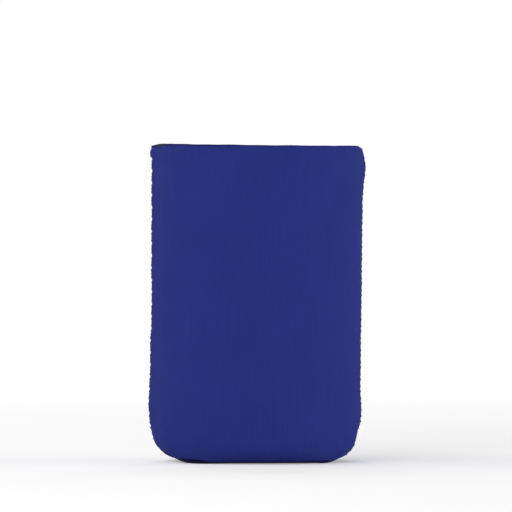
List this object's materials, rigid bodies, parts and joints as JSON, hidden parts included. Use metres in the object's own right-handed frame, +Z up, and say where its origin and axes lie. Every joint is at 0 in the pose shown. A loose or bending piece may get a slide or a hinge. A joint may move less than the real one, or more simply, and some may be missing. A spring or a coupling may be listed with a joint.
{
  "type": "can cooler sleeve",
  "caption": "Plain royal-blue foam can cooler sleeve, folded under the base and sewn up each side with a zigzag stitch.",
  "frame": {"origin": "centre of the flat underside, on the fold line between the ends of the two side seams", "axes": "+Z up along the sleeve's axis, towards the open rim; the front faces -Y; the seams run up the -X and +X sides"},
  "size_m": [0.0768, 0.0732, 0.112],
  "materials": {
    "foam_laminate": "matte royal-blue knit laminated on foam rubber",
    "sewing_thread": "soft sheen royal-blue polyester thread"
  },
  "bodies": {
    "root": {"folded_foam_panel": "foam_laminate", "left_seam_thread": "sewing_thread", "right_seam_thread": "sewing_thread"}
  },
  "joints": []
}
